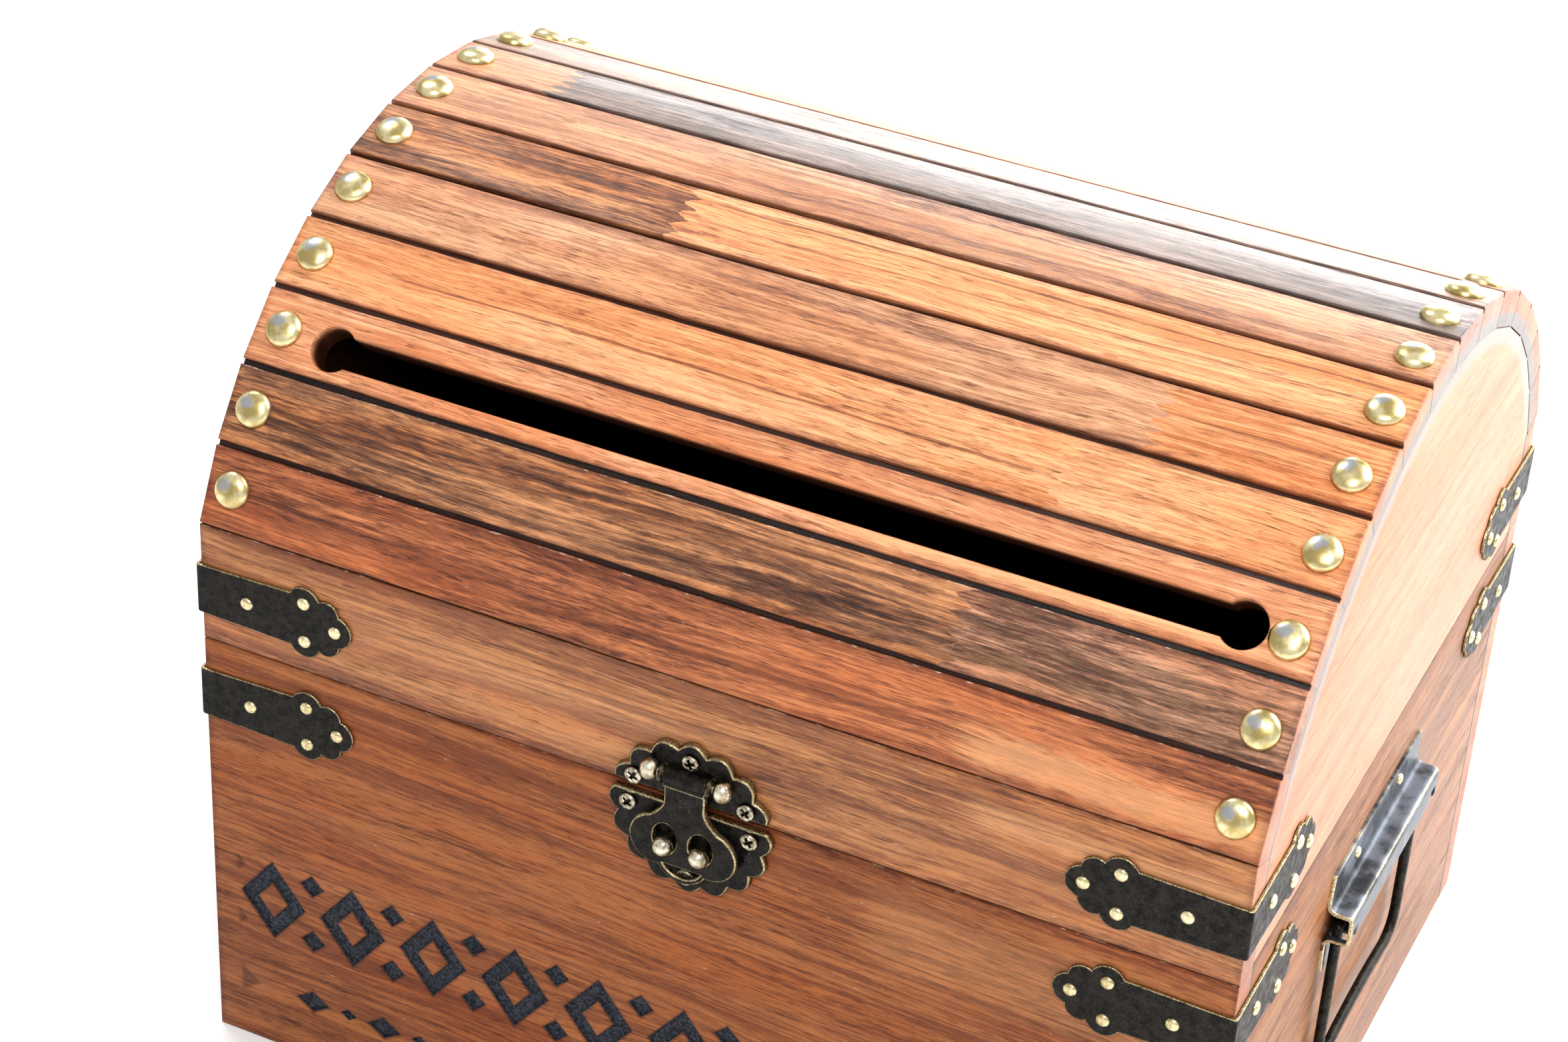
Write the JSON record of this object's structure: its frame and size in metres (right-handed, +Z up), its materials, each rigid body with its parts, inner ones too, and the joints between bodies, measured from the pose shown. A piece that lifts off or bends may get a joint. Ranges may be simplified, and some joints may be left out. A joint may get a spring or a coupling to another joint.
{
  "type": "donation box",
  "caption": "Wooden donation chest with a domed slatted lid, paper slot with drilled ends, domed brass nails, corner straps, round hasp latch and side drop handles.",
  "frame": {"origin": "middle of the underside, on the surface the box stands on", "axes": "+X along the width, to the right of someone facing the latch; -Y out of the front face; +Z up"},
  "size_m": [0.3126, 0.2599, 0.2618],
  "materials": {
    "stained_wood": "stained and varnished pine, satin",
    "plain_wood": "bare, thinly stained",
    "dark_bronze": "antique bronze, edges worn to brass",
    "worn_brass": "aged brass, satin",
    "steel": "bright plated, slightly aged"
  },
  "bodies": {
    "box": {"front_board": "stained_wood", "back_board": "stained_wood", "left_side": "stained_wood", "right_side": "stained_wood", "bottom_board": "plain_wood", "box_strap_front_left": "dark_bronze", "box_strap_front_right": "dark_bronze", "box_strap_back_left": "dark_bronze", "box_strap_back_right": "dark_bronze", "latch_lower_plate": "dark_bronze", "latch_stud_left": "steel", "latch_stud_right": "steel", "latch_lower_screw_1": "steel", "latch_lower_screw_2": "steel", "latch_lower_screw_3": "steel", "hinge_box_leaf_left": "dark_bronze", "hinge_box_leaf_right": "dark_bronze", "hinge_pin_left": "worn_brass", "hinge_pin_right": "worn_brass", "handle_plate_left": "dark_bronze", "handle_plate_right": "dark_bronze"},
    "lid": {"lid_front_rail": "stained_wood", "lid_back_rail": "stained_wood", "lid_left_end": "stained_wood", "lid_right_end": "stained_wood", "slat_01": "stained_wood", "slat_02": "stained_wood", "slot_slat": "stained_wood", "slat_04": "stained_wood", "slat_05": "stained_wood", "slat_06": "stained_wood", "slat_07": "stained_wood", "slat_08": "stained_wood", "slat_09": "stained_wood", "slat_10": "stained_wood", "slat_11": "stained_wood", "slat_12": "stained_wood", "slat_13": "stained_wood", "slat_14": "stained_wood", "lid_strap_front_left": "dark_bronze", "lid_strap_front_right": "dark_bronze", "lid_strap_back_left": "dark_bronze", "lid_strap_back_right": "dark_bronze", "latch_upper_plate": "dark_bronze", "latch_pin": "worn_brass", "latch_upper_screw_1": "steel", "latch_upper_screw_2": "steel", "latch_upper_screw_3": "steel", "hinge_lid_leaf_left": "dark_bronze", "hinge_lid_leaf_right": "dark_bronze"},
    "hasp": {"latch_hasp": "dark_bronze"},
    "left_bail": {"handle_bail_left": "dark_bronze"},
    "right_bail": {"handle_bail_right": "dark_bronze"}
  },
  "joints": [
    {"name": "lid_hinge", "type": "hinge", "parent": "box", "child": "lid", "pos_m": [0, 0.1253, 0.1379], "axis": [-1, 0, 0], "range_deg": [0, 105]},
    {"name": "hasp_hinge", "type": "hinge", "parent": "lid", "child": "hasp", "pos_m": [0, -0.1274, 0.1485], "axis": [-1, 0, 0], "range_deg": [0, 150]},
    {"name": "right_bail_hinge", "type": "hinge", "parent": "box", "child": "right_bail", "pos_m": [0.1531, -0.003, 0.0974], "axis": [0, -1, 0], "range_deg": [0, 90]},
    {"name": "left_bail_hinge", "type": "hinge", "parent": "box", "child": "left_bail", "pos_m": [-0.1531, -0.003, 0.0974], "axis": [0, 1, 0], "range_deg": [0, 90]}
  ]
}
